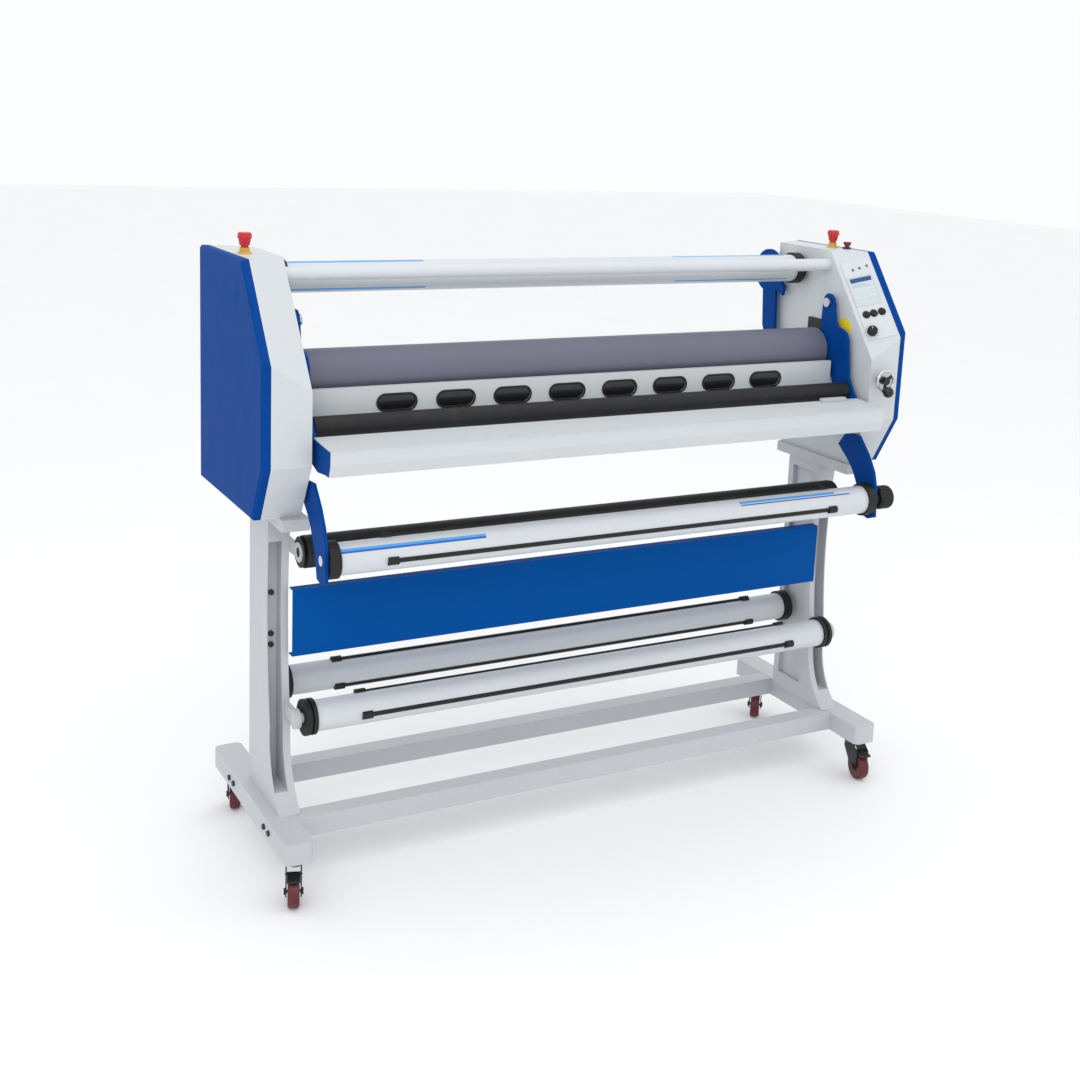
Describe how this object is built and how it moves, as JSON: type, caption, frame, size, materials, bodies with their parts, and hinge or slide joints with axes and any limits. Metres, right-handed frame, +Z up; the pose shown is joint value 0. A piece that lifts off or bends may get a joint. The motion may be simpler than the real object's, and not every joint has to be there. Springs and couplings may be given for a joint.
{
  "type": "cold roll laminator",
  "caption": "Wide-format roll laminator on a castered stand: two cabinets carry the pressing rollers, winding shafts, a swing-out feed table and a handwheel.",
  "frame": {"origin": "on the floor below the axis of the main rollers, at the middle of the overall footprint", "axes": "+X along the rollers to the operator's right, -Y towards the operator at the feed side, +Z up"},
  "size_m": [1.834, 0.6144, 1.5375],
  "materials": {
    "white_paint": "satin powder coat",
    "grey_paint": "satin powder coat",
    "blue_paint": "satin powder coat",
    "banner_blue": "satin paint",
    "silicone": "satin ground rubber",
    "shaft_metal": "anodised",
    "bright_steel": "turned",
    "chrome": "polished",
    "black_rubber": "matte",
    "black_plastic": "fine texture",
    "display": "gloss film",
    "red_plastic": "gloss moulded",
    "yellow_plastic": "gloss moulded",
    "cast": "machine paint",
    "zinc": "zinc plated",
    "dark_steel": "dark plated",
    "maroon_wheel": "moulded polyurethane"
  },
  "bodies": {
    "frame": {"banner_panel": "banner_blue", "caster_plates": "zinc", "control_panel": "white_paint", "cross_beams": "grey_paint", "display_window": "display", "drive_chain": "dark_steel", "drive_motor": "cast", "feet": "grey_paint", "frame_bolts": "dark_steel", "journal_shields": "black_plastic", "left_cabinet_shell": "white_paint", "leg_heads": "white_paint", "legs": "grey_paint", "lower_arms": "blue_paint", "power_inlet": "black_plastic", "rear_brackets": "blue_paint", "right_cabinet_shell": "white_paint", "roller_side_plates": "bright_steel", "shaft_cups": "grey_paint", "side_covers": "blue_paint", "stop_collars": "yellow_plastic", "swing_pivots": "zinc", "tie_tube": "white_paint", "window_guard": "white_paint"},
    "swing_table": {"feed_table": "white_paint", "swing_arms": "blue_paint"},
    "front_idler": {"front_idler": "black_rubber"},
    "handwheel": {"pressure_handwheel": "chrome"},
    "lift": {"lifting_blocks": "bright_steel"},
    "upper_roller": {"upper_roller": "silicone"},
    "lower_roller": {"lower_roller": "silicone", "roller_sprocket": "dark_steel"},
    "motor_drive": {"motor_sprocket": "dark_steel"},
    "supply_shaft": {"supply_shaft_tube": "shaft_metal", "supply_shaft_grips": "black_rubber"},
    "take_up_shaft": {"take_up_shaft_tube": "shaft_metal", "take_up_shaft_grips": "black_rubber"},
    "front_shaft": {"front_shaft_tube": "shaft_metal", "front_shaft_grips": "black_rubber"},
    "rear_shaft": {"rear_shaft_tube": "shaft_metal", "rear_shaft_grips": "black_rubber"},
    "lower_idler": {"lower_idler": "black_rubber"},
    "tension_knob": {"tension_knob": "black_plastic"},
    "button_1": {"panel_button_1": "black_plastic"},
    "button_2": {"panel_button_2": "black_plastic"},
    "button_3": {"panel_button_3": "black_plastic"},
    "dial": {"speed_dial": "black_plastic"},
    "left_stop": {"left_stop_cap": "red_plastic"},
    "right_stop": {"right_stop_cap": "red_plastic"},
    "low_button": {"reset_button": "red_plastic"},
    "front_left_caster": {"front_left_caster_fork": "dark_steel"},
    "front_left_wheel": {"front_left_caster_wheel": "maroon_wheel"},
    "front_left_pedal": {"front_left_brake_pedal": "dark_steel"},
    "front_right_caster": {"front_right_caster_fork": "dark_steel"},
    "front_right_wheel": {"front_right_caster_wheel": "maroon_wheel"},
    "front_right_pedal": {"front_right_brake_pedal": "dark_steel"},
    "rear_left_caster": {"rear_left_caster_fork": "dark_steel"},
    "rear_left_wheel": {"rear_left_caster_wheel": "maroon_wheel"},
    "rear_right_caster": {"rear_right_caster_fork": "dark_steel"},
    "rear_right_wheel": {"rear_right_caster_wheel": "maroon_wheel"}
  },
  "joints": [
    {"name": "table_swing", "type": "hinge", "parent": "frame", "child": "swing_table", "pos_m": [0, -0.042, 1.346], "axis": [-1, 0, 0], "range_deg": [0, 75]},
    {"name": "front_idler_spin", "type": "hinge", "parent": "swing_table", "child": "front_idler", "pos_m": [0, -0.142, 1.112], "axis": [1, 0, 0], "continuous": true},
    {"name": "handwheel_turn", "type": "hinge", "parent": "frame", "child": "handwheel", "pos_m": [0.828, -0.246, 1.156], "axis": [0, -1, 0], "range_deg": [0, 340]},
    {"name": "roller_lift", "type": "slide", "parent": "frame", "child": "lift", "axis": [0, 0, 1], "range_m": [0, 0.025]},
    {"name": "upper_roller_spin", "type": "hinge", "parent": "lift", "child": "upper_roller", "pos_m": [0, 0, 1.209], "axis": [1, 0, 0], "continuous": true},
    {"name": "lower_roller_spin", "type": "hinge", "parent": "frame", "child": "lower_roller", "pos_m": [0, 0, 1.089], "axis": [1, 0, 0], "continuous": true},
    {"name": "motor_spin", "type": "hinge", "parent": "frame", "child": "motor_drive", "pos_m": [0, 0.12, 0.985], "axis": [1, 0, 0], "continuous": true},
    {"name": "supply_shaft_spin", "type": "hinge", "parent": "frame", "child": "supply_shaft", "pos_m": [0, 0.117, 1.425], "axis": [1, 0, 0], "continuous": true},
    {"name": "take_up_shaft_spin", "type": "hinge", "parent": "frame", "child": "take_up_shaft", "pos_m": [0, -0.262, 0.832], "axis": [1, 0, 0], "continuous": true},
    {"name": "front_shaft_spin", "type": "hinge", "parent": "frame", "child": "front_shaft", "pos_m": [0, -0.124, 0.4], "axis": [1, 0, 0], "continuous": true},
    {"name": "rear_shaft_spin", "type": "hinge", "parent": "frame", "child": "rear_shaft", "pos_m": [0, 0.062, 0.42], "axis": [1, 0, 0], "continuous": true},
    {"name": "lower_idler_spin", "type": "hinge", "parent": "frame", "child": "lower_idler", "pos_m": [0, -0.104, 0.806], "axis": [1, 0, 0], "continuous": true},
    {"name": "tension_knob_turn", "type": "hinge", "parent": "frame", "child": "tension_knob", "pos_m": [0, -0.262, 0.832], "axis": [1, 0, 0], "range_deg": [0, 270]},
    {"name": "button_1_press", "type": "slide", "parent": "frame", "child": "button_1", "axis": [0.3574, 0.7467, -0.561], "range_m": [0, 0.0025], "stiffness_N_per_m": 400, "springref_m": -0.002},
    {"name": "button_2_press", "type": "slide", "parent": "frame", "child": "button_2", "axis": [0.3574, 0.7467, -0.561], "range_m": [0, 0.0025], "stiffness_N_per_m": 400, "springref_m": -0.002},
    {"name": "button_3_press", "type": "slide", "parent": "frame", "child": "button_3", "axis": [0.3574, 0.7467, -0.561], "range_m": [0, 0.0025], "stiffness_N_per_m": 400, "springref_m": -0.002},
    {"name": "dial_turn", "type": "hinge", "parent": "frame", "child": "dial", "pos_m": [0.82615, -0.17497, 1.27974], "axis": [0.3574, 0.7467, -0.561], "range_deg": [0, 270]},
    {"name": "left_stop_press", "type": "slide", "parent": "frame", "child": "left_stop", "axis": [0, 0, -1], "range_m": [0, 0.005], "stiffness_N_per_m": 800, "springref_m": -0.003},
    {"name": "right_stop_press", "type": "slide", "parent": "frame", "child": "right_stop", "axis": [0, 0, -1], "range_m": [0, 0.005], "stiffness_N_per_m": 800, "springref_m": -0.003},
    {"name": "low_button_press", "type": "slide", "parent": "frame", "child": "low_button", "axis": [0, 0, -1], "range_m": [0, 0.004], "stiffness_N_per_m": 500, "springref_m": -0.003},
    {"name": "front_left_swivel", "type": "hinge", "parent": "frame", "child": "front_left_caster", "pos_m": [-0.841, -0.236, 0.1], "axis": [0, 0, 1], "continuous": true},
    {"name": "front_left_roll", "type": "hinge", "parent": "front_left_caster", "child": "front_left_wheel", "pos_m": [-0.85077, -0.26437, 0.0375], "axis": [-0.9455, 0.3256, 0], "continuous": true},
    {"name": "front_left_pedal_press", "type": "hinge", "parent": "front_left_caster", "child": "front_left_pedal", "pos_m": [-0.85272, -0.27004, 0.084], "axis": [0.9455, -0.3256, 0], "range_deg": [0, 12]},
    {"name": "front_right_swivel", "type": "hinge", "parent": "frame", "child": "front_right_caster", "pos_m": [0.841, -0.236, 0.1], "axis": [0, 0, 1], "continuous": true},
    {"name": "front_right_roll", "type": "hinge", "parent": "front_right_caster", "child": "front_right_wheel", "pos_m": [0.83579, -0.26554, 0.0375], "axis": [-0.9848, 0.1736, 0], "continuous": true},
    {"name": "front_right_pedal_press", "type": "hinge", "parent": "front_right_caster", "child": "front_right_pedal", "pos_m": [0.83475, -0.27145, 0.084], "axis": [0.9848, -0.1736, 0], "range_deg": [0, 12]},
    {"name": "rear_left_swivel", "type": "hinge", "parent": "frame", "child": "rear_left_caster", "pos_m": [-0.841, 0.236, 0.1], "axis": [0, 0, 1], "continuous": true},
    {"name": "rear_left_roll", "type": "hinge", "parent": "rear_left_caster", "child": "rear_left_wheel", "pos_m": [-0.83173, 0.26453, 0.0375], "axis": [0.9511, -0.309, 0], "continuous": true},
    {"name": "rear_right_swivel", "type": "hinge", "parent": "frame", "child": "rear_right_caster", "pos_m": [0.841, 0.236, 0.1], "axis": [0, 0, 1], "continuous": true},
    {"name": "rear_right_roll", "type": "hinge", "parent": "rear_right_caster", "child": "rear_right_wheel", "pos_m": [0.82253, 0.21236, 0.0375], "axis": [-0.788, 0.6157, 0], "continuous": true}
  ],
  "couplings": [
    {"joint": "handwheel_turn", "follows": "roller_lift", "rad_per_m": 237.3},
    {"joint": "upper_roller_spin", "follows": "lower_roller_spin", "ratio": -1},
    {"joint": "motor_spin", "follows": "lower_roller_spin", "ratio": 3}
  ]
}
